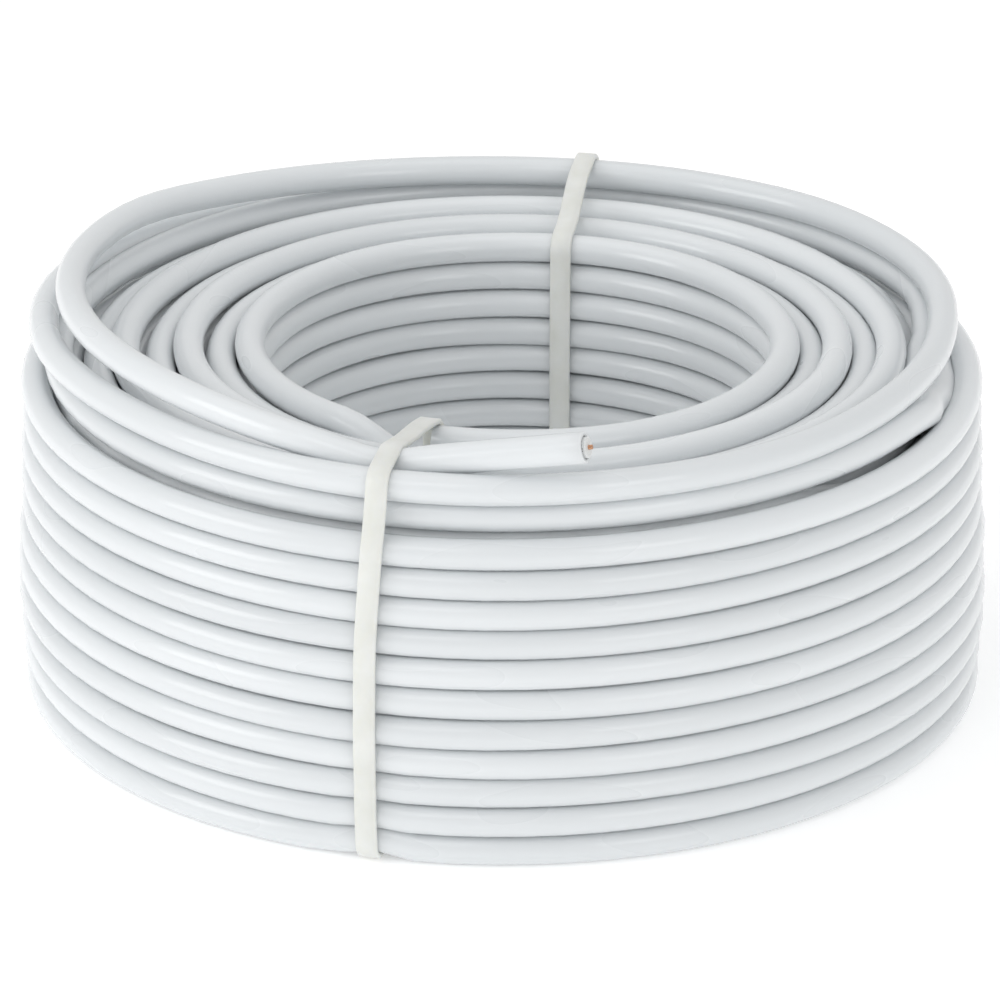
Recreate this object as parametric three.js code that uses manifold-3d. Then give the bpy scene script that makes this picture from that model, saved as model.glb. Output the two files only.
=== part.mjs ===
// Coil of coaxial cable standing on its end, held by two plastic cable ties.
// Millimetres, +Z up. The origin is on the floor, under the middle of the coil.
// Angles run round the coil in degrees from the front tie (-Y), towards +X.
import * as THREE from "three";
import { mergeVertices } from "three/addons/utils/BufferGeometryUtils.js";
import Module from "manifold-3d";

const wasm = await Module();
wasm.setup();

// Cable and winding
const cableDiameter = 6.8;
const layerPitch = 5.86;
const rowPitch = 6.92;
const layerCount = 8;
const turnsHigh = 12;
const boreDiameter = 119.6;
const clearance = 0.3;

// How the wound coil departs from a true ring
const leftSwellAngle = -68;
const leftSwellIn = 6.1;
const leftSwellOut = 1.2;
const leftSpread = 62;
const bellyOut = 1.6;
const bellyHeight = 26;
const bellySpread = 24;

// Cable ties
const frontTieAngle = 0;
const backTieAngle = 183;
const tieWidth = 4.8;
const tieThickness = 1.3;
const tieHeadSize = { across: 7.6, high: 6.6, deep: 4.8 };
const tieHeadHeight = 20;

// Cut end of the cable
const dielectricDiameter = 4.57;
const conductorDiameter = 1.02;
const dielectricProud = 0.7;
const conductorProud = 1.0;

// Mesh fineness
const ringSegments = 48;
const tubeSides = 10;
const tubeSteps = 80;

const cableRadius = cableDiameter / 2;
const firstRadius = boreDiameter / 2 + cableRadius;
const lastRadius = firstRadius + (layerCount - 1) * layerPitch;
const topTurnHeight = cableRadius + (turnsHigh - 1) * rowPitch;
const crestHalf = 0.18 * cableDiameter;
const crevice = 0.14 * cableDiameter;

const jacket = new THREE.MeshStandardMaterial({ color: 0xdfe2e4, roughness: 0.32, metalness: 0 });
const nylon = new THREE.MeshStandardMaterial({ color: 0xe6e5dc, roughness: 0.45, metalness: 0 });
const foam = new THREE.MeshStandardMaterial({ color: 0xf2f2ee, roughness: 0.6, metalness: 0 });
const copper = new THREE.MeshStandardMaterial({ color: 0xb8764a, roughness: 0.3, metalness: 1 });

const part = new THREE.Group();

const smoothstep = (t) => {
  const s = Math.min(1, Math.max(0, t));
  return s * s * (3 - 2 * s);
};

// A bump that is 1 at one angle and fades to 0 over a spread, both in degrees.
const bump = (angle, middle, spread) => {
  const turn = THREE.MathUtils.euclideanModulo(angle - middle + 180, 360) - 180;
  return Math.exp(-((turn / spread) ** 2));
};

// The swollen left side, where the winding is looser.
const leftSide = (angle) => bump(angle, leftSwellAngle, leftSpread);

// Where a point of the turned section goes at one angle: the left side swells, and the outer wall
// stands out a little low down. Gives radius and height.
const settle = (radius, height, angle) => {
  const share = THREE.MathUtils.clamp((radius - firstRadius) / (lastRadius - firstRadius), 0, 1);
  const swell = leftSide(angle) * (leftSwellOut * share - leftSwellIn * (1 - share));
  const belly = bellyOut * share * Math.exp(-(((height - bellyHeight) / bellySpread) ** 2));
  return new THREE.Vector2(radius + swell + belly, height);
};

const closedSolid = (geometry) => {
  geometry.deleteAttribute("normal");
  geometry.deleteAttribute("uv");
  const merged = mergeVertices(geometry, 1e-3);
  return new wasm.Manifold(new wasm.Mesh({
    numProp: 3,
    vertProperties: new Float32Array(merged.attributes.position.array),
    triVerts: new Uint32Array(merged.index.array),
  }));
};

const geometryOf = (solid) => {
  const mesh = solid.getMesh();
  const geometry = new THREE.BufferGeometry();
  geometry.setAttribute("position", new THREE.BufferAttribute(new Float32Array(mesh.vertProperties), 3));
  geometry.setIndex(new THREE.BufferAttribute(new Uint32Array(mesh.triVerts), 1));
  geometry.computeVertexNormals();
  return geometry;
};

const addPiece = (name, geometry, material) => {
  const mesh = new THREE.Mesh(geometry, material);
  mesh.name = name;
  part.add(mesh);
};

const polar = (radius, height, angle) => {
  const turn = THREE.MathUtils.degToRad(angle);
  return [radius * Math.sin(turn), -radius * Math.cos(turn), height];
};

// Section of the wound cable, one crest for each turn that shows on its outline. Every second
// layer has one turn less, nested in its neighbours, and the outermost one too.
function windingSection() {
  const section = [];
  const turnHeight = (row) => cableRadius + row * rowPitch;
  const layerRadius = (layer) => firstRadius + layer * layerPitch;
  for (let row = 0; row < turnsHigh; row += 1) {
    const height = turnHeight(row);
    section.push(new THREE.Vector2(firstRadius - cableRadius, height - crestHalf));
    section.push(new THREE.Vector2(firstRadius - cableRadius, height + crestHalf));
    if (row < turnsHigh - 1) {
      section.push(new THREE.Vector2(firstRadius - crevice, height + rowPitch / 2));
    }
  }
  const ceiling = topTurnHeight + cableRadius;
  for (let layer = 0; layer < layerCount - 1; layer += 1) {
    const radius = layerRadius(layer);
    if (layer % 2 === 0) {
      section.push(new THREE.Vector2(radius - crestHalf, ceiling));
      section.push(new THREE.Vector2(radius + crestHalf, ceiling));
    } else {
      section.push(new THREE.Vector2(radius, ceiling - rowPitch / 2));
    }
  }
  const shoulder = layerRadius(layerCount - 2) + cableRadius;
  section.push(new THREE.Vector2(shoulder, topTurnHeight));
  const outerRows = turnsHigh - 1;
  section.push(new THREE.Vector2(shoulder, turnHeight(outerRows - 1) + cableRadius));
  for (let row = outerRows - 1; row >= 0; row -= 1) {
    const height = turnHeight(row);
    section.push(new THREE.Vector2(lastRadius + cableRadius, height + crestHalf));
    section.push(new THREE.Vector2(lastRadius + cableRadius, height - crestHalf));
    if (row > 0) {
      section.push(new THREE.Vector2(lastRadius + crevice, height - rowPitch / 2));
    }
  }
  for (let layer = layerCount - 1; layer >= 0; layer -= 1) {
    const radius = layerRadius(layer);
    if (layer % 2 === 0 || layer === layerCount - 1) {
      section.push(new THREE.Vector2(radius + crestHalf, 0));
      section.push(new THREE.Vector2(radius - crestHalf, 0));
    } else {
      section.push(new THREE.Vector2(radius, rowPitch / 2));
    }
  }
  section.push(section[0].clone());
  return section.reverse();
}

// The turned coil, swollen as it was wound, before the last turn and the ties.
function settledRing() {
  const lathe = new THREE.LatheGeometry(windingSection(), ringSegments);
  lathe.rotateX(Math.PI / 2);
  const position = lathe.attributes.position;
  const point = new THREE.Vector3();
  for (let i = 0; i < position.count; i += 1) {
    point.fromBufferAttribute(position, i);
    const angle = THREE.MathUtils.radToDeg(Math.atan2(point.x, -point.y));
    const moved = settle(Math.hypot(point.x, point.y), point.z, angle);
    position.setXYZ(i, ...polar(moved.x, moved.y, angle));
  }
  return closedSolid(lathe);
}

// Route of the last turn, which is a turn and a half long: from the cut end, over the coil's front,
// in an arch round its left side, round its top edge, and on the left once more under the arch,
// down to the outer layer behind. Each point has its angle, how far it lies inside the outer
// layer, and how far above the top turns, in cable diameters.
const lastTurnRoute = [
  [24.7, -0.43, 2.51],
  [19.1, 0.28, 2.15],
  [13.1, 0.84, 1.79],
  [6.7, 1.23, 1.42],
  [0.0, 1.43, 1.06],
  [-5.5, 1.33, 1.31],
  [-11.0, 1.15, 1.64],
  [-25.0, 1.16, 1.98],
  [-41.0, 1.16, 2.17],
  [-58.0, 1.1, 2.2],
  [-75.0, 1.0, 2.11],
  [-91.0, 0.85, 1.96],
  [-107.0, 0.68, 1.78],
  [-123.0, 0.85, 1.46],
  [-140.0, 1.0, 1.2],
  [-157.0, 1.18, 1.08],
  [-175.0, 1.25, 1.06],
  [-195.0, 1.05, 1.05],
  [-215.0, 0.75, 1.06],
  [-240.0, 0.7, 1.04],
  [-262.0, 0.92, 0.95],
  [-285.0, 0.88, 0.9],
  [-310.0, 0.52, 0.86],
  [-335.0, 0.4, 0.84],
  [-358.0, 0.36, 0.85],
  [-380.0, 0.52, 0.9],
  [-402.0, 0.52, 0.98],
  [-425.0, 0.2, 0.9],
  [-447.0, -0.04, 0.74],
  [-468.0, -0.06, 0.46],
  [-487.0, -0.04, 0.18],
  [-504.0, -0.03, -0.08],
  [-520.0, -0.02, -0.5],
  [-536.0, 0.0, -0.86],
];

function lastTurnCurve() {
  const points = lastTurnRoute.map(([angle, inset, rise]) =>
    new THREE.Vector3(...polar(lastRadius - inset * cableDiameter, topTurnHeight + rise * cableDiameter, angle)));
  return new THREE.CatmullRomCurve3(points, false, "centripetal");
}

function circlePoints(radius, sides) {
  return Array.from({ length: sides }, (_, i) => {
    const turn = (2 * Math.PI * i) / sides;
    return new THREE.Vector2(radius * Math.cos(turn), radius * Math.sin(turn));
  });
}

function tube(curve, radius, steps) {
  const section = new THREE.Shape(circlePoints(radius, tubeSides));
  return new THREE.ExtrudeGeometry(section, { steps, extrudePath: curve, bevelEnabled: false });
}

// A straight round rod that starts at one point and runs along a direction.
function rod(start, direction, radius, length) {
  const end = start.clone().addScaledVector(direction, length);
  return tube(new THREE.LineCurve3(start, end), radius, 1);
}

// A block from the axis outwards, as wide as asked, that a tie's angle runs through.
function tieSlice(angle, width, height) {
  const block = new THREE.BoxGeometry(width, 2 * lastRadius, height);
  block.translate(0, -lastRadius, 0);
  block.rotateZ(THREE.MathUtils.degToRad(angle));
  return closedSolid(block);
}

// Corners of the cable where a tie goes round it, as radius and height. What lies lower than the
// tie's top face under the coil is raised to it.
function wrappedPoints(angle, cable) {
  const lowest = tieThickness + clearance;
  const turn = THREE.MathUtils.degToRad(angle);
  const { vertProperties } = cable.intersect(tieSlice(angle, tieHeadSize.across, 4 * topTurnHeight)).getMesh();
  const points = [];
  for (let i = 0; i < vertProperties.length; i += 3) {
    const radius = vertProperties[i] * Math.sin(turn) - vertProperties[i + 1] * Math.cos(turn);
    points.push(new THREE.Vector2(radius, Math.max(lowest, vertProperties[i + 2])));
  }
  return points;
}

// The taut loop round a set of points: their convex hull, anticlockwise.
function convexHull(points) {
  const sorted = [...points].sort((a, b) => a.x - b.x || a.y - b.y);
  const chain = (list) => {
    const hull = [];
    for (const point of list) {
      while (hull.length > 1) {
        const [a, b] = hull.slice(-2);
        if ((b.x - a.x) * (point.y - a.y) - (b.y - a.y) * (point.x - a.x) > 1e-6) {
          break;
        }
        hull.pop();
      }
      hull.push(point);
    }
    return hull.slice(0, -1);
  };
  return [...chain(sorted), ...chain(sorted.reverse())];
}

// Leaves out the points of an outline that lie nearer than a step to the last one kept.
function thinned(points, step) {
  const kept = [];
  for (const point of points) {
    if (kept.length === 0 || point.distanceTo(kept[kept.length - 1]) > step) {
      kept.push(point);
    }
  }
  return kept;
}

// Moves each side of an anticlockwise outline outwards by one distance and joins them again.
function offsetOutline(points, distance) {
  const count = points.length;
  return points.map((point, i) => {
    const before = point.clone().sub(points[(i + count - 1) % count]).normalize();
    const after = points[(i + 1) % count].clone().sub(point).normalize();
    const normal = new THREE.Vector2(before.y + after.y, -before.x - after.x).normalize();
    const miter = distance / Math.max(0.5, normal.x * after.y - normal.y * after.x);
    return point.clone().addScaledVector(normal, miter);
  });
}

// A cable tie drawn round the coil's wall: the strap, with its head in the bore.
function tieSolid(angle, cable) {
  const wrapped = thinned(convexHull(wrappedPoints(angle, cable)), clearance);
  const inner = offsetOutline(wrapped, clearance);
  const band = new THREE.Shape(offsetOutline(wrapped, clearance + tieThickness));
  band.holes.push(new THREE.Path(inner));
  const strap = new THREE.ExtrudeGeometry(band, { depth: tieWidth, bevelEnabled: false });
  strap.translate(0, 0, -tieWidth / 2);
  strap.rotateX(Math.PI / 2);
  strap.rotateZ(THREE.MathUtils.degToRad(angle - 90));
  const boreSide = Math.min(...inner.map((point) => point.x));
  const head = new THREE.BoxGeometry(tieHeadSize.across, tieHeadSize.deep, tieHeadSize.high);
  head.translate(0, tieHeadSize.deep / 2 - boreSide, tieHeadHeight);
  head.rotateZ(THREE.MathUtils.degToRad(angle));
  return closedSolid(strap).add(closedSolid(head));
}

const lastTurnPath = lastTurnCurve();
const lastTurn = closedSolid(tube(lastTurnPath, cableRadius, tubeSteps));
const lastTurnSeat = closedSolid(tube(lastTurnPath, cableRadius + clearance, tubeSteps));
const ring = settledRing().subtract(lastTurnSeat);
const tieAngles = { tie_front: frontTieAngle, tie_back: backTieAngle };

let coil = ring;
for (const angle of Object.values(tieAngles)) {
  coil = coil.subtract(tieSlice(angle, tieWidth + 4 * clearance, 2 * (tieThickness + clearance)));
}
addPiece("cable_coil", geometryOf(coil), jacket);
addPiece("cable_last_turn", geometryOf(lastTurn), jacket);

const outwards = lastTurnPath.getTangentAt(0).negate();
const dielectricStart = lastTurnPath.getPointAt(0).addScaledVector(outwards, clearance);
addPiece("dielectric_end", rod(dielectricStart, outwards, dielectricDiameter / 2, dielectricProud), foam);
const conductorStart = dielectricStart.clone().addScaledVector(outwards, dielectricProud + clearance);
addPiece("conductor_end", rod(conductorStart, outwards, conductorDiameter / 2, conductorProud), copper);

const cable = ring.add(lastTurn);
for (const [name, angle] of Object.entries(tieAngles)) {
  addPiece(name, geometryOf(tieSolid(angle, cable)), nylon);
}

export default part;
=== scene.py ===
"""Dressed model of a coil of coaxial cable that stands on its end, for Blender 4.5.

Everything is in metres, in the part's own frame: +Z up, the origin on the floor under the middle
of the coil. Angles run round the coil in degrees from the front tie, which is at -Y, towards +X.
The shapes of the winding are first laid out in cable diameters, and scaled once at the end.
"""

import logging
import math
import random
from dataclasses import dataclass, field
from enum import Enum

import bmesh
import bpy
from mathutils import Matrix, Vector


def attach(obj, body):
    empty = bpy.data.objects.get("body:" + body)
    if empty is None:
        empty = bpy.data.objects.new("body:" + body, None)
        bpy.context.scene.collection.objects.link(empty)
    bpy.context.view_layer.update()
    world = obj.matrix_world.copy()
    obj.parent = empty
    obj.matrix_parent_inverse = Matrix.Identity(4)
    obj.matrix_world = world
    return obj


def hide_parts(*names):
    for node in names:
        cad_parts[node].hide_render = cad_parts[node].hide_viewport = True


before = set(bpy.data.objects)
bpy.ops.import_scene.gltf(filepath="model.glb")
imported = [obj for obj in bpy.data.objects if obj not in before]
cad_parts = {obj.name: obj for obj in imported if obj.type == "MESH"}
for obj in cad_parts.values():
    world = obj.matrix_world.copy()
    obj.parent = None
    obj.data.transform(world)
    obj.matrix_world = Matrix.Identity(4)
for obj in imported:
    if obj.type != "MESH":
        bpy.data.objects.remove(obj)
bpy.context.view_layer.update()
log = logging.getLogger("coil")

BODY = "root"
DIAMETER = 0.0068
Knot = tuple[float, float, float]


class Role(Enum):
    """What a stretch of the winding is, which sets how finely it is modelled."""

    SEEN = "seen"
    BURIED = "buried"


def smooth(share: float) -> float:
    """Ease a share from 0 to 1, level at both ends."""
    held = min(1.0, max(0.0, share))
    return held * held * (3.0 - 2.0 * held)


def mix(low: float, high: float, share: float) -> float:
    """Go from low to high by a share."""
    return low + (high - low) * share


def turned_apart(angle: float, middle: float) -> float:
    """Give the signed turn from one angle to another, from -180 to 180 degrees."""
    return (angle - middle + 180.0) % 360.0 - 180.0


def bump(angle: float, middle: float, spread: float) -> float:
    """Give 1 at one angle, fading to 0 over a spread, all in degrees."""
    return math.exp(-((turned_apart(angle, middle) / spread) ** 2))


def place(knot: Knot) -> Vector:
    """Turn an angle with a radius and a height in cable diameters into a point.

    Args:
        knot: Angle in degrees, radius and height in cable diameters.

    Returns:
        The point in metres.
    """
    angle, radius, height = knot
    turn = math.radians(angle)
    return Vector((radius * math.sin(turn), -radius * math.cos(turn), height)) * DIAMETER


def add_object(name: str, mesh: bpy.types.Mesh) -> bpy.types.Object:
    """Link a mesh to the scene as an object that rides on the coil.

    Args:
        name: The piece's name.
        mesh: Its finished mesh, in the part's frame.

    Returns:
        The new object.
    """
    piece = bpy.data.objects.new(name, mesh)
    bpy.context.scene.collection.objects.link(piece)
    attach(piece, BODY)
    return piece


def shade_smooth(mesh: bpy.types.Mesh) -> None:
    """Make every face of a mesh smooth."""
    mesh.polygons.foreach_set("use_smooth", [True] * len(mesh.polygons))
    mesh.update()


class NodeTree:
    """A small helper that adds and joins shader nodes of one material."""

    def __init__(self, name: str) -> None:
        """Start an empty material with its output and main shader."""
        self.material = bpy.data.materials.new(name)
        self.material.use_nodes = True
        self.tree = self.material.node_tree
        self.tree.nodes.clear()
        output = self.add("ShaderNodeOutputMaterial")
        self.shader = self.add("ShaderNodeBsdfPrincipled")
        self.join(self.shader.outputs["BSDF"], output.inputs["Surface"])

    def add(self, kind: str, **settings: object) -> bpy.types.Node:
        """Add a node of a kind, with its settings."""
        node = self.tree.nodes.new(kind)
        for key, value in settings.items():
            setattr(node, key, value)
        return node

    def join(self, source: bpy.types.NodeSocket, target: bpy.types.NodeSocket) -> None:
        """Link two sockets."""
        self.tree.links.new(source, target)

    def set(self, **values: object) -> None:
        """Set sockets of the main shader that are the same all over the surface."""
        for key, value in values.items():
            self.shader.inputs[key.replace("_", " ")].default_value = value

    def noise(
        self, vector: bpy.types.NodeSocket, scale: float, detail: float
    ) -> bpy.types.NodeSocket:
        """Add a noise pattern and give its value from 0 to 1."""
        node = self.add("ShaderNodeTexNoise")
        node.inputs["Scale"].default_value = scale
        node.inputs["Detail"].default_value = detail
        self.join(vector, node.inputs["Vector"])
        return node.outputs["Fac"]

    def stretched(
        self, vector: bpy.types.NodeSocket, scale: tuple[float, float, float]
    ) -> bpy.types.NodeSocket:
        """Scale a pattern's coordinates along its three directions."""
        node = self.add("ShaderNodeMapping")
        node.inputs["Scale"].default_value = scale
        self.join(vector, node.inputs["Vector"])
        return node.outputs["Vector"]

    def ramp(
        self, value: bpy.types.NodeSocket, stops: list[tuple[float, tuple]]
    ) -> bpy.types.NodeSocket:
        """Map a value to a colour through a list of stops."""
        node = self.add("ShaderNodeValToRGB")
        elements = node.color_ramp.elements
        while len(elements) < len(stops):
            elements.new(0.5)
        for element, (position, colour) in zip(elements, stops):
            element.position = position
            element.color = (*colour, 1.0)
        self.join(value, node.inputs["Fac"])
        return node.outputs["Color"]

    def ranged(self, value: bpy.types.NodeSocket, low: float, high: float) -> bpy.types.NodeSocket:
        """Map a value from 0 to 1 onto another range."""
        node = self.add("ShaderNodeMapRange")
        node.inputs["To Min"].default_value = low
        node.inputs["To Max"].default_value = high
        self.join(value, node.inputs["Value"])
        return node.outputs["Result"]

    def bumped(self, height: bpy.types.NodeSocket, strength: float, distance: float) -> None:
        """Give the main shader fine relief from a height pattern."""
        node = self.add("ShaderNodeBump")
        node.inputs["Strength"].default_value = strength
        node.inputs["Distance"].default_value = distance
        self.join(height, node.inputs["Height"])
        self.join(node.outputs["Normal"], self.shader.inputs["Normal"])


@dataclass(frozen=True)
class GlossyJacket:
    """Light grey-white PVC, smooth and glossy, with the slow waves of an extruded jacket."""

    pale: tuple = (0.76, 0.785, 0.80)
    dark: tuple = (0.71, 0.735, 0.75)
    wave_relief: float = 0.0005
    grain_relief: float = 0.00004
    roughness: tuple = (0.24, 0.34)
    coat: float = 0.45
    coat_roughness: float = 0.1

    def build(self) -> bpy.types.Material:
        """Make the jacket's material from the cable's own length and girth coordinates."""
        nodes = NodeTree("jacket_gloss_pvc")
        uv = nodes.add("ShaderNodeUVMap", uv_map="along").outputs["UV"]
        where = nodes.add("ShaderNodeTexCoord").outputs["Object"]
        slow = nodes.noise(nodes.stretched(uv, (7.0, 0.8, 1.0)), 1.0, 0.0)
        colour = nodes.ramp(slow, [(0.3, self.dark), (0.7, self.pale)])
        nodes.join(colour, nodes.shader.inputs["Base Color"])
        sheen = nodes.noise(nodes.stretched(uv, (30.0, 2.0, 1.0)), 1.0, 0.0)
        nodes.join(nodes.ranged(sheen, *self.roughness), nodes.shader.inputs["Roughness"])
        waves = nodes.noise(nodes.stretched(uv, (38.0, 1.2, 1.0)), 1.0, 0.0)
        grain = nodes.noise(where, 1800.0, 2.0)
        mixed = nodes.add("ShaderNodeMath", operation="MULTIPLY_ADD")
        mixed.inputs[1].default_value = self.grain_relief / self.wave_relief
        nodes.join(grain, mixed.inputs[0])
        nodes.join(waves, mixed.inputs[2])
        nodes.bumped(mixed.outputs[0], 0.6, self.wave_relief)
        nodes.set(Metallic=0.0, IOR=1.5)
        nodes.set(Coat_Weight=self.coat, Coat_Roughness=self.coat_roughness)
        nodes.set(Subsurface_Weight=0.3, Subsurface_Scale=1.0)
        nodes.set(Subsurface_Radius=(0.003, 0.003, 0.003))
        return nodes.material


@dataclass(frozen=True)
class NaturalNylon:
    """Undyed nylon of a cable tie, milky and a little yellow."""

    clear: tuple = (0.73, 0.74, 0.70)
    milky: tuple = (0.79, 0.80, 0.775)
    roughness: tuple = (0.34, 0.48)

    def build(self) -> bpy.types.Material:
        """Make the ties' material."""
        nodes = NodeTree("tie_natural_nylon")
        where = nodes.add("ShaderNodeTexCoord").outputs["Object"]
        cloud = nodes.noise(where, 160.0, 3.0)
        colour = nodes.ramp(cloud, [(0.3, self.clear), (0.7, self.milky)])
        nodes.join(colour, nodes.shader.inputs["Base Color"])
        sheen = nodes.ranged(nodes.noise(where, 900.0, 2.0), *self.roughness)
        nodes.join(sheen, nodes.shader.inputs["Roughness"])
        nodes.bumped(nodes.noise(where, 1400.0, 2.0), 0.25, 0.0001)
        nodes.set(Metallic=0.0, IOR=1.53, Subsurface_Weight=0.35, Subsurface_Scale=1.0)
        nodes.set(Subsurface_Radius=(0.0016, 0.0015, 0.0012))
        return nodes.material


@dataclass(frozen=True)
class CutFoam:
    """White foam core, cut through, with the cells of its foam."""

    foam: tuple = (0.86, 0.87, 0.86)
    pores: tuple = (0.66, 0.68, 0.68)
    roughness: tuple = (0.5, 0.7)

    def build(self) -> bpy.types.Material:
        """Make the foam core's material."""
        nodes = NodeTree("dielectric_cut_foam")
        where = nodes.add("ShaderNodeTexCoord").outputs["Object"]
        cells = nodes.add("ShaderNodeTexVoronoi")
        cells.inputs["Scale"].default_value = 5200.0
        nodes.join(where, cells.inputs["Vector"])
        colour = nodes.ramp(cells.outputs["Distance"], [(0.1, self.foam), (0.8, self.pores)])
        nodes.join(colour, nodes.shader.inputs["Base Color"])
        nodes.bumped(cells.outputs["Distance"], 0.4, 0.0001)
        sheen = nodes.ranged(nodes.noise(where, 700.0, 2.0), *self.roughness)
        nodes.join(sheen, nodes.shader.inputs["Roughness"])
        nodes.set(Metallic=0.0, Subsurface_Weight=0.2, Subsurface_Scale=1.0)
        nodes.set(Subsurface_Radius=(0.001, 0.001, 0.001))
        return nodes.material


@dataclass(frozen=True)
class DrawnMetal:
    """Bare drawn wire, with fine dark streaks where it was cut."""

    name: str
    bright: tuple
    dull: tuple
    roughness: tuple = (0.22, 0.42)

    def build(self) -> bpy.types.Material:
        """Make a wire's material."""
        nodes = NodeTree(self.name)
        where = nodes.add("ShaderNodeTexCoord").outputs["Object"]
        streak = nodes.noise(where, 2600.0, 3.0)
        colour = nodes.ramp(streak, [(0.35, self.dull), (0.65, self.bright)])
        nodes.join(colour, nodes.shader.inputs["Base Color"])
        nodes.join(nodes.ranged(streak, *self.roughness), nodes.shader.inputs["Roughness"])
        nodes.bumped(streak, 0.3, 0.00005)
        nodes.set(Metallic=1.0)
        return nodes.material


@dataclass(frozen=True)
class PaleFloor:
    """The plain white surface that the coil stands on."""

    colour: tuple = (0.94, 0.94, 0.94)
    glow: float = 0.25

    def build(self) -> bpy.types.Material:
        """Make the floor's material."""
        nodes = NodeTree("floor_white")
        nodes.set(Base_Color=(*self.colour, 1.0), Roughness=0.75)
        nodes.set(Emission_Color=(1.0, 1.0, 1.0, 1.0), Emission_Strength=self.glow)
        return nodes.material


@dataclass
class Turn:
    """One turn of the winding: where it lies, and where it ends and shifts to the next."""

    layer: int
    row: int
    radius: float
    height: float
    shift_from: float
    shift_to: float

    def role(self) -> Role:
        """Tell whether the turn shows on the coil's outline."""
        rows = Winding.rows_of(self.layer)
        outline = self.layer in (0, Winding.layer_count - 1) or self.row in (0, rows - 1)
        return Role.SEEN if outline else Role.BURIED


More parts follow.
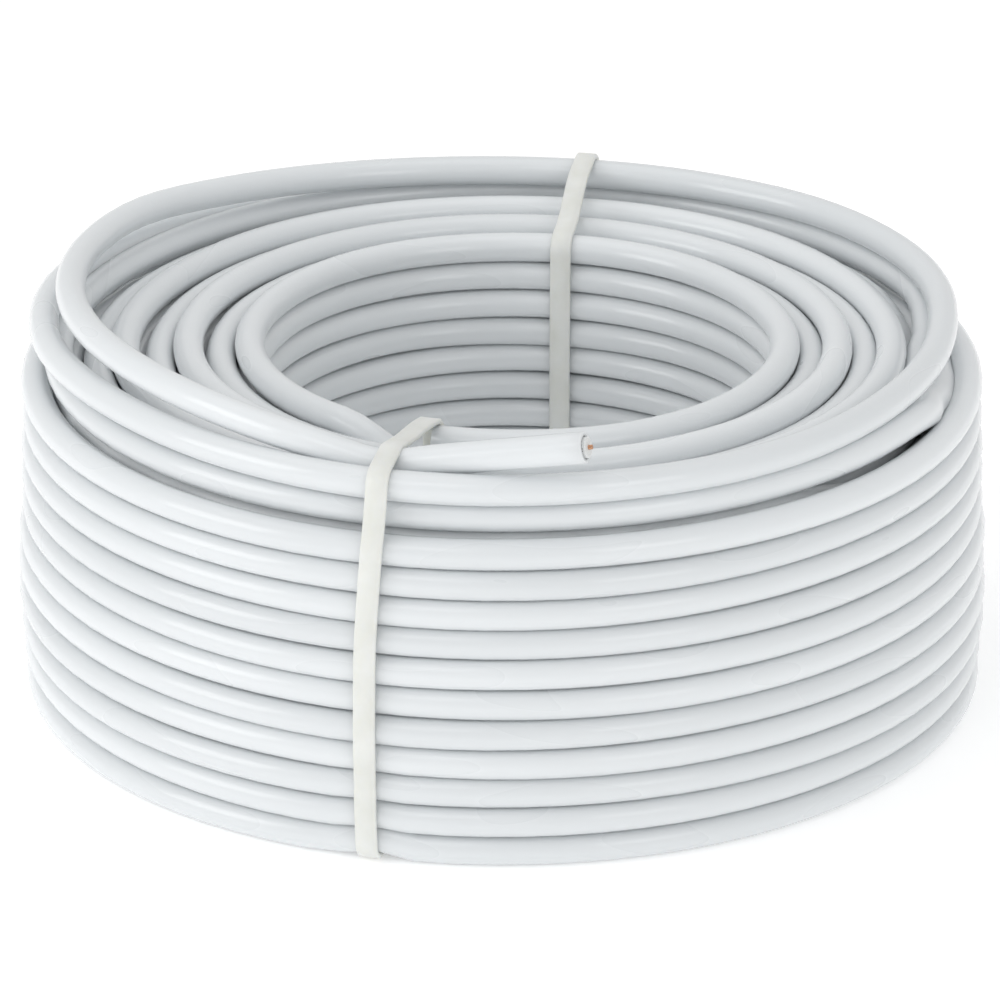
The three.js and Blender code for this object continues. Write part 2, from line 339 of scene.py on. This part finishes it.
@dataclass
class Winding:
    """The cable as it is wound: 8 layers of 12 and 11 turns, and a last turn and a half on top.

    Lengths are in cable diameters and angles in degrees. Even layers are wound downwards and odd
    ones upwards, each in the grooves of the one before, and the outermost one stands on the floor.
    A turn shifts to the next over a short angle, counted from the end of a full turn.
    """

    first_radius: float = 9.3
    layer_pitch: float = 5.86 / 6.8
    row_pitch: float = 6.92 / 6.8
    layer_count: int = 8
    swell_angle: float = -68.0
    swell_spread: float = 62.0
    swell_in: float = 6.1 / 6.8
    swell_out: float = 1.2 / 6.8
    belly_out: float = 1.6 / 6.8
    belly_height: float = 26.0 / 6.8
    belly_spread: float = 24.0 / 6.8
    front_angle: float = 15.7
    front_dip: float = -0.15
    back_rise: float = 0.16
    shoulder_out: float = 0.36
    shoulder_share: float = 0.9
    shoulder_depth: float = 0.4
    start_angle: float = 1.4
    waver: float = 0.035
    waver_counts: tuple = (2, 3, 5)
    floor_reach: float = 1.4
    tie_lift: float = 1.75 / 6.8
    tie_lift_spread: float = 5.0
    tie_angles: tuple = (0.0, 183.0)
    seen_step: float = 4.5
    buried_step: float = 12.0
    top_step: float = 3.6
    usual_shift: tuple = (-27.0, -2.0)
    odd_climb: tuple = (-2.0, 24.0)
    even_climb: tuple = (-52.0, -26.0)
    first_shift: tuple = (-21.0, 0.0)
    first_climb: tuple = (-46.0, -22.0)
    third_last_drift: float = -22.5
    third_last_climb: tuple = (-259.0, -233.0)
    second_last_shift: tuple = (-285.0, -259.0)
    second_last_drift: float = -24.5
    second_last_climb: tuple = (-556.0, -530.0)
    last_shift: tuple = (-530.0, -504.0)
    top_route: list = field(default_factory=lambda: [
        (24.7, -0.43, 2.51), (19.1, 0.28, 2.15), (13.1, 0.84, 1.79), (6.7, 1.23, 1.42),
        (0.0, 1.43, 1.06), (-5.5, 1.33, 1.31), (-11.0, 1.15, 1.64), (-25.0, 1.16, 1.98),
        (-41.0, 1.16, 2.17), (-58.0, 1.1, 2.2), (-75.0, 1.0, 2.11), (-91.0, 0.85, 1.96),
        (-107.0, 0.68, 1.78), (-123.0, 0.85, 1.46), (-140.0, 1.0, 1.2), (-157.0, 1.18, 1.08),
        (-175.0, 1.25, 1.06), (-195.0, 1.05, 1.05), (-215.0, 0.75, 1.06), (-240.0, 0.7, 1.04),
        (-262.0, 0.92, 0.95), (-285.0, 0.88, 0.9), (-310.0, 0.52, 0.86), (-335.0, 0.4, 0.84),
        (-358.0, 0.36, 0.85), (-380.0, 0.52, 0.9), (-402.0, 0.52, 0.98), (-425.0, 0.2, 0.9),
        (-447.0, -0.04, 0.74), (-468.0, -0.06, 0.46), (-487.0, -0.04, 0.18), (-504.0, -0.03, -0.08),
        (-520.0, -0.02, -0.5), (-536.0, 0.0, -0.86),
    ])

    @staticmethod
    def rows_of(layer: int) -> int:
        """Count the turns of a layer."""
        return 12 if layer % 2 == 0 else 11

    @property
    def last_radius(self) -> float:
        """Give the radius of the outermost layer."""
        return self.first_radius + (self.layer_count - 1) * self.layer_pitch

    @property
    def top_height(self) -> float:
        """Give the height of the even layers' top turns."""
        return 0.5 + (self.rows_of(0) - 1) * self.row_pitch

    def shift(self, layer: int, step_in_layer: int, changes_layer: bool) -> tuple[float, float]:
        """Say over which angles a turn shifts to the next one.

        Args:
            layer: The turn's layer.
            step_in_layer: How many turns of the layer are wound before it.
            changes_layer: Whether the next turn is in the next layer.

        Returns:
            The first and last angle of the shift, in degrees past the end of a full turn.
        """
        last = self.layer_count - 1
        if layer == 0:
            return self.first_climb if changes_layer else self.first_shift
        if layer == last - 2:
            if changes_layer:
                return self.third_last_climb
            drift = self.third_last_drift * (step_in_layer + 1)
            return self.usual_shift[0] + drift, self.usual_shift[1] + drift
        if layer == last - 1:
            if changes_layer:
                return self.second_last_climb
            drift = self.second_last_drift * step_in_layer
            return self.second_last_shift[0] + drift, self.second_last_shift[1] + drift
        if layer == last:
            return self.last_shift
        if changes_layer:
            return self.odd_climb if layer % 2 else self.even_climb
        return self.usual_shift

    def turns(self) -> list[Turn]:
        """List the turns of the body of the coil in the order in which they are wound."""
        wound = []
        for layer in range(self.layer_count):
            rows = list(range(self.rows_of(layer)))
            if layer % 2 == 0:
                rows.reverse()
            odd_inside = layer % 2 == 1 and layer < self.layer_count - 1
            nested = 0.5 * self.row_pitch if odd_inside else 0.0
            for step, row in enumerate(rows):
                low, high = self.shift(layer, step, step == len(rows) - 1)
                end = 360.0 * (len(wound) + 1)
                radius = self.first_radius + layer * self.layer_pitch
                height = 0.5 + nested + row * self.row_pitch
                wound.append(Turn(layer, row, radius, height, end + low, end + high))
        return wound

    def settle(self, knot: Knot, number: int) -> Knot:
        """Move a point of the ideal winding to where the real cable lies.

        Args:
            knot: Angle, radius and height in the ideal winding.
            number: The number of the turn, which gives its own slow waver.

        Returns:
            The moved knot.
        """
        angle, radius, height = knot
        share = (radius - self.first_radius) / (self.last_radius - self.first_radius)
        share = min(1.0, max(0.0, share))
        swell = bump(angle, self.swell_angle, self.swell_spread)
        radius += swell * (self.swell_out * share - self.swell_in * (1.0 - share))
        off_belly = (height - self.belly_height) / self.belly_spread
        radius += self.belly_out * share * math.exp(-(off_belly**2))
        behind = 0.5 - 0.5 * math.cos(math.radians(angle - self.front_angle))
        rise = mix(self.front_dip, self.back_rise, behind)
        height += rise * share * (height / self.top_height) ** 2
        if share < self.shoulder_share and height > self.top_height - self.shoulder_depth:
            radius += self.shoulder_out * share**3
        dice = random.Random(number)
        waves = [(dice.uniform(0.0, 360.0), dice.choice(self.waver_counts)) for _ in range(2)]
        sway = [math.sin(math.radians(angle * count + phase)) for phase, count in waves]
        radius += self.waver * sway[0]
        height += 0.5 * self.waver * sway[1]
        under = math.exp(-max(0.0, height - 0.5) / self.floor_reach)
        spread = self.tie_lift_spread * self.first_radius / radius
        lift = max(bump(angle, tie, spread) for tie in self.tie_angles)
        height = max(0.5, height) + self.tie_lift * lift * under
        return angle, radius, height

    def body_knots(self) -> list[Knot]:
        """Lay out the body of the winding, up to where the last turn climbs onto the top."""
        wound = self.turns()
        knots = []
        angle = self.start_angle
        for number, turn in enumerate(wound[:-1]):
            following = wound[number + 1]
            seen = Role.SEEN in (turn.role(), following.role())
            step = self.seen_step if seen else self.buried_step
            while angle < turn.shift_from:
                knots.append(self.settle((angle, turn.radius, turn.height), number))
                angle += step
            angle = turn.shift_from
            span = turn.shift_to - turn.shift_from
            count = math.ceil(span / self.seen_step)
            for i in range(count):
                share = smooth(i / count)
                blended = (
                    turn.shift_from + span * i / count,
                    mix(turn.radius, following.radius, share),
                    mix(turn.height, following.height, share),
                )
                before = self.settle(blended, number)
                after = self.settle(blended, number + 1)
                knots.append(tuple(mix(a, b, share) for a, b in zip(before, after)))
            angle = turn.shift_to
        last = wound[-1]
        climb = self.route_offset + self.top_route[-1][0]
        while angle < climb - self.seen_step:
            knots.append(self.settle((angle, last.radius, last.height), len(wound)))
            angle += self.seen_step
        return knots

    @property
    def route_offset(self) -> float:
        """Give how far the winding's angles are past the route's, in degrees of whole turns."""
        return 360.0 * len(self.turns())

    def top_knots(self) -> list[Knot]:
        """Lay out the last turn and a half, from the outer layer up to the free cut end."""
        offset = self.route_offset
        route = [
            (angle + offset, self.last_radius - inset, self.top_height + rise)
            for angle, inset, rise in reversed(self.top_route)
        ]
        knots = []
        for i in range(len(route) - 1):
            a, b = route[i], route[i + 1]
            before = route[max(0, i - 1)]
            after = route[min(len(route) - 1, i + 2)]
            count = max(2, round((b[0] - a[0]) / self.top_step))
            for j in range(count):
                knots.append(self.between(before, a, b, after, j / count))
        knots.append(route[-1])
        return knots

    @staticmethod
    def between(before: Knot, a: Knot, b: Knot, after: Knot, share: float) -> Knot:
        """Go from knot a to knot b on a smooth curve that also minds the knots next to them.

        Args:
            before: The knot before a.
            a: The knot at share 0.
            b: The knot at share 1.
            after: The knot after b.
            share: How far along, from 0 to 1.

        Returns:
            The knot on the curve.
        """
        span = b[0] - a[0]
        values = [a[0] + span * share]
        for k in (1, 2):
            leaving = (b[k] - before[k]) / max(1e-6, b[0] - before[0]) * span
            coming = (after[k] - a[k]) / max(1e-6, after[0] - a[0]) * span
            cubed, squared = share**3, share**2
            values.append(
                (2 * cubed - 3 * squared + 1) * a[k]
                + (cubed - 2 * squared + share) * leaving
                + (3 * squared - 2 * cubed) * b[k]
                + (cubed - squared) * coming
            )
        return tuple(values)

    def knots(self) -> list[Knot]:
        """Lay out the whole cable from its inner end to its free cut end."""
        return self.body_knots() + self.top_knots()


@dataclass
class CoilCable:
    """The cable itself: one tube through every turn, with its jacket cut square at both ends."""

    winding: Winding
    sides: int = 16
    real_length: float = 48.3
    wall: float = 0.0008
    recess: float = 0.0012
    cut_edge: float = 0.00012
    wall_slope: float = 0.0001
    recess_hole: float = 0.0003
    jacket: GlossyJacket = field(default_factory=GlossyJacket)

    def path(self) -> list[Vector]:
        """Give the cable's centreline in metres."""
        return [place(knot) for knot in self.winding.knots()]

    def end_rings(self, at_free_end: bool) -> list[tuple[float, float]]:
        """Give the rings that close a cut end, in the order in which the tube meets them.

        Args:
            at_free_end: True for the free end, False for the inner end, where the tube starts.

        Returns:
            Pairs of radius and offset towards the outside of the cable, in metres.
        """
        radius = DIAMETER / 2
        rings = [
            (radius, 0.0),
            (radius - self.cut_edge, self.cut_edge),
            (radius - self.wall, self.cut_edge),
            (radius - self.wall - self.wall_slope, -self.recess),
            (self.recess_hole, -self.recess),
        ]
        return rings if at_free_end else list(reversed(rings))

    def build(self) -> bpy.types.Object:
        path = self.path()
        last = len(path) - 1
        tangents = [
            (path[min(i + 1, last)] - path[max(i - 1, 0)]).normalized() for i in range(len(path))
        ]
        lengths = [0.0]
        for a, b in zip(path, path[1:]):
            lengths.append(lengths[-1] + (b - a).length)
        radius = DIAMETER / 2
        rings = []
        for ring_radius, out in self.end_rings(at_free_end=False):
            rings.append((path[0] - tangents[0] * out, tangents[0], ring_radius, -out))
        for i in range(1, last):
            rings.append((path[i], tangents[i], radius, lengths[i]))
        for ring_radius, out in self.end_rings(at_free_end=True):
            centre = path[-1] + tangents[-1] * out
            rings.append((centre, tangents[-1], ring_radius, lengths[-1] + out))
        mesh = self.tube_mesh(rings)
        cable = add_object("cable", mesh)
        cable.data.materials.append(self.jacket.build())
        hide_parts("cable_coil", "cable_last_turn")
        counts = len(rings), len(mesh.polygons)
        log.info("cable: %d rings, %d faces, %.2f m long", *counts, lengths[-1])
        return cable

    def tube_mesh(self, rings: list[tuple[Vector, Vector, float, float]]) -> bpy.types.Mesh:
        """Join rings of points into one closed tube with its own length and girth coordinates.

        Args:
            rings: Centre, direction, radius and distance along the cable of each ring.

        Returns:
            The tube's mesh.
        """
        sides = self.sides
        turns = [2 * math.pi * k / sides - math.pi / 2 for k in range(sides)]
        circle = [(math.cos(turn), math.sin(turn)) for turn in turns]
        points = []
        for centre, tangent, radius, _ in rings:
            side = tangent.cross(Vector((0.0, 0.0, 1.0))).normalized()
            up = side.cross(tangent)
            points.extend(centre + side * (radius * c) + up * (radius * s) for c, s in circle)
        faces = []
        uvs = []
        for i in range(len(rings) - 1):
            base, along, further = i * sides, rings[i][3], rings[i + 1][3]
            for k in range(sides):
                n = (k + 1) % sides
                faces.append((base + k, base + n, base + sides + n, base + sides + k))
                v, w = k / sides, (k + 1) / sides
                uvs.extend((along, v, along, w, further, w, further, v))
        faces.append(tuple(reversed(range(sides))))
        uvs.extend((rings[0][3], 0.5) * sides)
        last = (len(rings) - 1) * sides
        faces.append(tuple(range(last, last + sides)))
        uvs.extend((rings[-1][3], 0.5) * sides)
        mesh = bpy.data.meshes.new("cable")
        mesh.from_pydata(points, [], faces)
        layer = mesh.uv_layers.new(name="along")
        layer.data.foreach_set("uv", uvs)
        shade_smooth(mesh)
        return mesh

    def declare(self, ends: list[bpy.types.Object]) -> None:
        """Args:
            ends: The pieces in its free cut end; not used.
        """
        path = self.path()


@dataclass
class CutEnd:
    """What shows in the free cut end: the braid's wires, the foam core and the copper wire."""

    winding: Winding
    foam_radius: float = 0.00228
    foam_proud: float = 0.0007
    foam_edge: float = 0.0001
    foam_sides: int = 32
    wire_radius: float = 0.00051
    wire_proud: float = 0.0009
    wire_edge: float = 0.00006
    wire_sides: int = 16
    braid_radius: float = 0.00246
    braid_wire: float = 0.00008
    braid_count: int = 40
    braid_sides: int = 6
    braid_seed: int = 11
    braid_uneven: float = 0.3
    braid_off: tuple = (-0.00005, 0.00012)
    braid_cut: tuple = (-0.0004, 0.0003)
    braid_lean: tuple = (-0.12, 0.05)
    depth: float = 0.0012
    foam: CutFoam = field(default_factory=CutFoam)
    copper: DrawnMetal = DrawnMetal("conductor_copper", (0.82, 0.45, 0.27), (0.5, 0.26, 0.16))
    braid: DrawnMetal = DrawnMetal("braid_tinned", (0.62, 0.63, 0.63), (0.16, 0.16, 0.17))

    def axis(self) -> tuple[Vector, Vector]:
        """Give the cut end's centre and the direction out of it."""
        top = self.winding.top_knots()
        tip, inner = place(top[-1]), place(top[-2])
        return tip, (tip - inner).normalized()

    def rod(
        self, mesh: bmesh.types.BMesh, foot: Vector, out: Vector, radius: float, length: float,
        segments: int, edge: float,
    ) -> None:
        """Add a round rod with a rounded cut edge to a mesh.

        Args:
            mesh: The mesh that takes the rod.
            foot: The centre of the rod's inner end.
            out: The direction along the rod.
            radius: The rod's radius.
            length: The rod's length.
            segments: How many sides it has.
            edge: The size of the rounding of its outer edge.
        """
        turn = Vector((0.0, 0.0, 1.0)).rotation_difference(out).to_matrix().to_4x4()
        made = bmesh.ops.create_cone(
            mesh, cap_ends=True, segments=segments, radius1=radius, radius2=radius, depth=length
        )["verts"]
        rim = [
            link for link in {e for v in made for e in v.link_edges}
            if all(v.co.z > 0.0 for v in link.verts)
        ]
        bmesh.ops.translate(mesh, vec=(0.0, 0.0, length / 2), verts=made)
        bmesh.ops.rotate(mesh, cent=(0.0, 0.0, 0.0), matrix=turn, verts=made)
        bmesh.ops.translate(mesh, vec=foot, verts=made)
        if edge > 0.0:
            bmesh.ops.bevel(
                mesh, geom=rim, offset=edge, segments=2, profile=0.5, affect="EDGES", material=-1
            )

    def finish(
        self, name: str, mesh: bmesh.types.BMesh, material: bpy.types.Material,
        nodes: tuple,
    ) -> bpy.types.Object:
        """Turn a mesh into a dressed piece.

        Args:
            name: The piece's name.
            mesh: Its mesh, which is freed.
            material: Its finish.
            nodes: The CAD nodes that it stands for.

        Returns:
            The piece.
        """
        data = bpy.data.meshes.new(name)
        mesh.to_mesh(data)
        mesh.free()
        piece = add_object(name, data)
        data.materials.append(material)
        if nodes:
            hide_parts(*nodes)
        log.info("%s: %d faces", name, len(data.polygons))
        return piece

    def build(self) -> list[bpy.types.Object]:
        """Make the core, the copper wire and the cut wires of the braid."""
        tip, out = self.axis()
        foot = tip - out * self.depth
        core_length = self.depth + self.foam_proud
        core = bmesh.new()
        self.rod(core, foot, out, self.foam_radius, core_length, self.foam_sides, self.foam_edge)
        wire_length = core_length + self.wire_proud
        wire = bmesh.new()
        self.rod(wire, foot, out, self.wire_radius, wire_length, self.wire_sides, self.wire_edge)
        strands = bmesh.new()
        dice = random.Random(self.braid_seed)
        side = out.orthogonal().normalized()
        for i in range(self.braid_count):
            uneven = dice.uniform(-self.braid_uneven, self.braid_uneven)
            turn = 2 * math.pi * (i + uneven) / self.braid_count
            around = side * math.cos(turn) + out.cross(side) * math.sin(turn)
            radius = self.braid_radius + dice.uniform(*self.braid_off)
            length = self.depth + dice.uniform(*self.braid_cut)
            lean = (out + around * dice.uniform(*self.braid_lean)).normalized()
            start = foot + around * radius
            self.rod(strands, start, lean, self.braid_wire, length, self.braid_sides, 0.0)
        return [
            self.finish("core_end", core, self.foam.build(), ("dielectric_end",)),
            self.finish("wire_end", wire, self.copper.build(), ("conductor_end",)),
            self.finish("braid_end", strands, self.braid.build(), ()),
        ]


@dataclass
class CableTie:
    """A cable tie drawn round the coil's wall, with its head in the bore."""

    name: str
    angle: float
    winding: Winding
    width: float = 0.0048
    thickness: float = 0.0013
    gap: float = 0.00015
    head_across: float = 0.0076
    head_high: float = 0.0066
    head_deep: float = 0.0048
    head_height: float = 0.020
    tail: float = 0.006
    lean: float = 0.0018
    lean_from: float = 0.045
    lean_to: float = 0.085
    lean_depth: float = 4.0
    strap_edge: float = 0.00035
    loop_step: float = 0.0016
    round_steps: int = 24
    search_angle: float = 6.5
    grip_share: float = 0.9
    head_bite: float = 0.0004
    head_edge: float = 0.0006
    mouth_rim: float = 0.0011
    mouth_depth: float = 0.0018
    tail_edge: float = 0.0003

    def wrapped(self) -> list[tuple[float, float]]:
        """Give points round the turns that the tie holds, as radius and height in metres."""
        points = []
        radius = DIAMETER / 2 + self.gap
        for knot in self.winding.knots():
            apart = turned_apart(knot[0], self.angle)
            if abs(apart) > self.search_angle:
                continue
            off = math.radians(apart) * knot[1] * DIAMETER
            if abs(off) > self.width * self.grip_share:
                continue
            for k in range(self.round_steps):
                turn = 2 * math.pi * k / self.round_steps
                height = knot[2] * DIAMETER + radius * math.sin(turn)
                out = knot[1] * DIAMETER + radius * math.cos(turn)
                points.append((out, max(height, self.thickness)))
        return points

    @staticmethod
    def hull(points: list[tuple[float, float]]) -> list[Vector]:
        """Give the taut loop round a set of points, anticlockwise."""
        ordered = sorted(set(points))

        def chain(row: list[tuple[float, float]]) -> list[tuple[float, float]]:
            """Keep the points of a row at which one side of the loop turns left."""
            kept: list[tuple[float, float]] = []
            for point in row:
                while len(kept) > 1:
                    a, b = kept[-2], kept[-1]
                    rise = (b[0] - a[0]) * (point[1] - a[1])
                    if rise - (b[1] - a[1]) * (point[0] - a[0]) > 1e-9:
                        break
                    kept.pop()
                kept.append(point)
            return kept[:-1]

        return [Vector(p) for p in chain(ordered) + chain(ordered[::-1])]

    def loop(self) -> list[Vector]:
        """Give the strap's inner outline in even steps."""
        corners = self.hull(self.wrapped())
        dense: list[Vector] = []
        for a, b in zip(corners, corners[1:] + corners[:1]):
            count = max(1, round((b - a).length / self.loop_step))
            dense.extend(a.lerp(b, i / count) for i in range(count))
        return dense

    def build(self) -> bpy.types.Object:
        """Make the strap and its head as one piece."""
        mesh = bmesh.new()
        self.add_strap(mesh)
        self.add_head(mesh)
        outwards = place((self.angle, 1.0, 0.0)).normalized()
        turn = Vector((1.0, 0.0, 0.0)).rotation_difference(outwards).to_matrix()
        bmesh.ops.rotate(mesh, cent=(0.0, 0.0, 0.0), matrix=turn, verts=mesh.verts)
        data = bpy.data.meshes.new(self.name)
        mesh.to_mesh(data)
        mesh.free()
        shade_smooth(data)
        piece = add_object(f"{self.name}_strap", data)
        data.materials.append(NaturalNylon().build())
        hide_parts(self.name)
        log.info("%s: %d faces", self.name, len(data.polygons))
        return piece

    def add_strap(self, mesh: bmesh.types.BMesh) -> None:
        """Add the strap: a flat band with rounded edges, swept round the loop."""
        loop = self.loop()
        half = self.width / 2
        soft = self.strap_edge
        band = [
            (-half, soft), (-half + soft, 0.0), (half - soft, 0.0), (half, soft),
            (half, self.thickness - soft), (half - soft, self.thickness),
            (-half + soft, self.thickness), (-half, self.thickness - soft),
        ]
        rings = []
        count = len(loop)
        for i, point in enumerate(loop):
            tangent = (loop[(i + 1) % count] - loop[i - 1]).normalized()
            out = Vector((tangent.y, -tangent.x))
            depth = (point.x / DIAMETER - self.winding.first_radius) / self.lean_depth
            risen = (point.y - self.lean_from) / (self.lean_to - self.lean_from)
            lean = self.lean * smooth(depth) * smooth(risen)
            ring = []
            for across, rise in band:
                spot = point + out * rise
                ring.append(mesh.verts.new((spot.x, across + lean, max(0.0, spot.y))))
            rings.append(ring)
        for i, ring in enumerate(rings):
            following = rings[(i + 1) % count]
            for k in range(len(band)):
                n = (k + 1) % len(band)
                mesh.faces.new((ring[k], ring[n], following[n], following[k]))
        bmesh.ops.recalc_face_normals(mesh, faces=mesh.faces)

    def add_head(self, mesh: bmesh.types.BMesh) -> None:
        """Add the head with its rounded edges, the slot's mouth and the cut-off tail."""
        bore = min(point.x for point in self.loop())
        made = bmesh.ops.create_cube(mesh, size=1.0)["verts"]
        bmesh.ops.scale(mesh, vec=(self.head_deep, self.head_across, self.head_high), verts=made)
        out = bore - self.head_deep / 2 + self.head_bite
        head_top = self.head_height + self.head_high / 2
        bmesh.ops.translate(mesh, vec=(out, 0.0, self.head_height), verts=made)
        top = [
            face for face in {face for vert in made for face in vert.link_faces}
            if face.normal.z > 0.9 or face.calc_center_median().z > head_top - 1e-5
        ]
        bmesh.ops.inset_region(mesh, faces=top, thickness=self.mouth_rim, depth=0.0)
        mouth = list({vert for face in top if face.is_valid for vert in face.verts})
        bmesh.ops.translate(mesh, vec=(0.0, 0.0, -self.mouth_depth), verts=mouth)
        edges = [
            edge for edge in mesh.edges
            if edge.is_manifold and all(vert in made for vert in edge.verts)
        ]
        bmesh.ops.bevel(
            mesh, geom=edges, offset=self.head_edge, segments=3, profile=0.5, affect="EDGES",
            material=-1,
        )
        tail = bmesh.ops.create_cube(mesh, size=1.0)["verts"]
        bmesh.ops.scale(mesh, vec=(self.thickness, self.width, self.tail), verts=tail)
        bmesh.ops.translate(mesh, vec=(out, 0.0, head_top), verts=tail)
        rims = list({edge for vert in tail for edge in vert.link_edges})
        bmesh.ops.bevel(
            mesh, geom=rims, offset=self.tail_edge, segments=2, profile=0.5, affect="EDGES",
            material=-1,
        )


@dataclass
class Studio:
    """The floor, the soft lights and the camera.

    The camera's aim is in cable diameters. Each light has its place, side and power.
    """

    azimuth: float = 15.7
    elevation: float = 22.287
    distance: float = 1.428
    lens: float = 226.2
    aim_right: float = -0.165
    aim_up: float = -0.419
    aim_height: float = 6.5
    floor_size: float = 4.0
    look_height: float = 0.04
    surround: float = 0.74
    lights: tuple = (
        ("overhead", (-0.2, 0.1, 1.1), 0.9, 1.3),
        ("high_front", (-0.1, -1.0, 1.15), 0.5, 1.1),
        ("left_front", (-0.9, -0.7, 0.5), 0.6, 2.7),
        ("right_front", (0.9, -0.8, 0.55), 0.5, 1.2),
    )
    floor: PaleFloor = field(default_factory=PaleFloor)

    def add_camera(self) -> None:
        """Set up the camera at the photograph's viewing angle."""
        side, rise = math.radians(self.azimuth), math.radians(self.elevation)
        level = math.cos(rise)
        back = Vector((math.sin(side) * level, -math.cos(side) * level, math.sin(rise)))
        right = Vector((math.cos(side), math.sin(side), 0.0))
        up = back.cross(right)
        aim = Vector((0.0, 0.0, self.aim_height)) + right * self.aim_right + up * self.aim_up
        target = Vector((0.0, 0.0, self.aim_height))
        data = bpy.data.cameras.new("camera")
        data.lens = self.lens
        data.sensor_width = 36.0
        data.clip_start = 0.05
        camera = bpy.data.objects.new("camera", data)
        camera.location = target * DIAMETER + back * self.distance
        towards = aim * DIAMETER - camera.location
        camera.rotation_euler = towards.to_track_quat("-Z", "Y").to_euler()
        bpy.context.scene.collection.objects.link(camera)
        bpy.context.scene.camera = camera

    def add_light(
        self, name: str, spot: tuple[float, float, float], size: float, power: float
    ) -> None:
        """Add a soft square light that looks at the coil.

        Args:
            name: The light's name.
            spot: Where it stands, in metres.
            size: Its side.
            power: Its power in watts.
        """
        data = bpy.data.lights.new(name, "AREA")
        data.size = size
        data.energy = power
        light = bpy.data.objects.new(name, data)
        light.location = spot
        towards = Vector((0.0, 0.0, self.look_height)) - light.location
        light.rotation_euler = towards.to_track_quat("-Z", "Y").to_euler()
        bpy.context.scene.collection.objects.link(light)

    def build(self) -> None:
        """Add the floor, the lights and the soft surrounding light."""
        mesh = bmesh.new()
        bmesh.ops.create_grid(mesh, x_segments=1, y_segments=1, size=self.floor_size)
        data = bpy.data.meshes.new("floor")
        mesh.to_mesh(data)
        mesh.free()
        ground = bpy.data.objects.new("floor", data)
        bpy.context.scene.collection.objects.link(ground)
        data.materials.append(self.floor.build())
        for name, spot, size, power in self.lights:
            self.add_light(name, spot, size, power)
        world = bpy.data.worlds.new("studio")
        world.use_nodes = True
        background = world.node_tree.nodes["Background"]
        background.inputs["Color"].default_value = (1.0, 1.0, 1.0, 1.0)
        background.inputs["Strength"].default_value = self.surround
        bpy.context.scene.world = world
        bpy.context.scene.view_settings.view_transform = "Standard"
        log.info("studio: floor, four lights and the camera")


def main() -> None:
    """Build every piece in order and report each one."""
    logging.basicConfig(level=logging.INFO, format="%(name)s: %(message)s")
    studio = Studio()
    studio.add_camera()
    winding = Winding()
    cable = CoilCable(winding)
    tube = cable.build()
    cable.declare(CutEnd(winding).build())
    for name, angle in zip(("tie_front", "tie_back"), winding.tie_angles):
        CableTie(name, angle, winding).build()
    studio.build()


if __name__ == "__main__":
    main()
